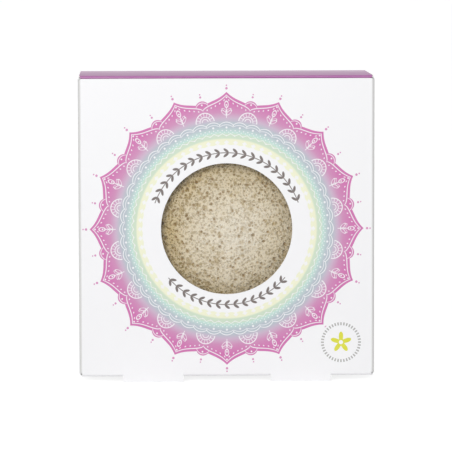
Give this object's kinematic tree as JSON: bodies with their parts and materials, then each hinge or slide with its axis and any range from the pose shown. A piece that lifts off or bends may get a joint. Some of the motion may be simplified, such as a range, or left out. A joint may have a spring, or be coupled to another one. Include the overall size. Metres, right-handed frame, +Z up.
{
  "type": "konjac sponge in a windowed carton",
  "caption": "Domed konjac face sponge in a square paperboard tuck-end carton with a round film window, a coloured opening lid and foot tabs to stand on.",
  "frame": {"origin": "on the surface that the feet stand on, under the middle of the carton", "axes": "+Z up, +X to the right of someone facing the window, -Y out of the window"},
  "size_m": [0.1, 0.042, 0.1038],
  "materials": {
    "printed_board": "coated matt",
    "lid_board": "printed, coated matt",
    "plain_board": "uncoated",
    "glue": "dried clear glue",
    "cellulose_film": "clear gloss",
    "sponge": "open pores, matt"
  },
  "bodies": {
    "carton_sleeve": {"front_panel": "printed_board", "back_panel": "printed_board", "left_side_panel": "printed_board", "right_side_panel": "printed_board", "glue_flap": "plain_board", "seam_glue": "glue", "window_film": "cellulose_film", "window_glue": "glue"},
    "top_lid": {"top_lid": "lid_board"},
    "top_tuck": {"top_tuck_flap": "lid_board"},
    "top_dust_left": {"top_dust_flap_left": "plain_board"},
    "top_dust_right": {"top_dust_flap_right": "plain_board"},
    "bottom_lid": {"bottom_lid": "printed_board"},
    "bottom_tuck": {"bottom_tuck_flap": "printed_board"},
    "bottom_dust_left": {"bottom_dust_flap_left": "plain_board"},
    "bottom_dust_right": {"bottom_dust_flap_right": "plain_board"},
    "sponge": {"konjac_sponge": "sponge"}
  },
  "joints": [
    {"name": "top_lid_hinge", "type": "hinge", "parent": "carton_sleeve", "child": "top_lid", "pos_m": [0, 0.021, 0.1038], "axis": [-1, 0, 0], "range_deg": [0, 175]},
    {"name": "top_tuck_hinge", "type": "hinge", "parent": "top_lid", "child": "top_tuck", "pos_m": [0, -0.0198, 0.1033], "axis": [-1, 0, 0], "range_deg": [0, 71]},
    {"name": "top_dust_left_hinge", "type": "hinge", "parent": "carton_sleeve", "child": "top_dust_left", "pos_m": [-0.0495, 0, 0.10265], "axis": [0, -1, 0], "range_deg": [0, 132]},
    {"name": "top_dust_right_hinge", "type": "hinge", "parent": "carton_sleeve", "child": "top_dust_right", "pos_m": [0.0495, 0, 0.10265], "axis": [0, 1, 0], "range_deg": [0, 132]},
    {"name": "bottom_lid_hinge", "type": "hinge", "parent": "carton_sleeve", "child": "bottom_lid", "pos_m": [0, -0.021, 0.002], "axis": [-1, 0, 0], "range_deg": [0, 175]},
    {"name": "bottom_tuck_hinge", "type": "hinge", "parent": "bottom_lid", "child": "bottom_tuck", "pos_m": [0, 0.0198, 0.0025], "axis": [-1, 0, 0], "range_deg": [0, 71]},
    {"name": "bottom_dust_left_hinge", "type": "hinge", "parent": "carton_sleeve", "child": "bottom_dust_left", "pos_m": [-0.0495, 0, 0.00315], "axis": [0, 1, 0], "range_deg": [0, 132]},
    {"name": "bottom_dust_right_hinge", "type": "hinge", "parent": "carton_sleeve", "child": "bottom_dust_right", "pos_m": [0.0495, 0, 0.00315], "axis": [0, -1, 0], "range_deg": [0, 132]},
    {"name": "sponge_lift", "type": "slide", "parent": "carton_sleeve", "child": "sponge", "axis": [0, 0, 1], "range_m": [0, 0.101]}
  ],
  "couplings": [
    {"joint": "top_lid_hinge", "follows": "sponge_lift", "rad_per_m": 30.24},
    {"joint": "top_tuck_hinge", "follows": "sponge_lift", "rad_per_m": 12.096},
    {"joint": "top_dust_left_hinge", "follows": "sponge_lift", "rad_per_m": 22.68},
    {"joint": "top_dust_right_hinge", "follows": "sponge_lift", "rad_per_m": 22.68},
    {"joint": "bottom_tuck_hinge", "follows": "bottom_lid_hinge", "ratio": 0.4},
    {"joint": "bottom_dust_left_hinge", "follows": "bottom_lid_hinge", "ratio": 0.75},
    {"joint": "bottom_dust_right_hinge", "follows": "bottom_lid_hinge", "ratio": 0.75}
  ]
}
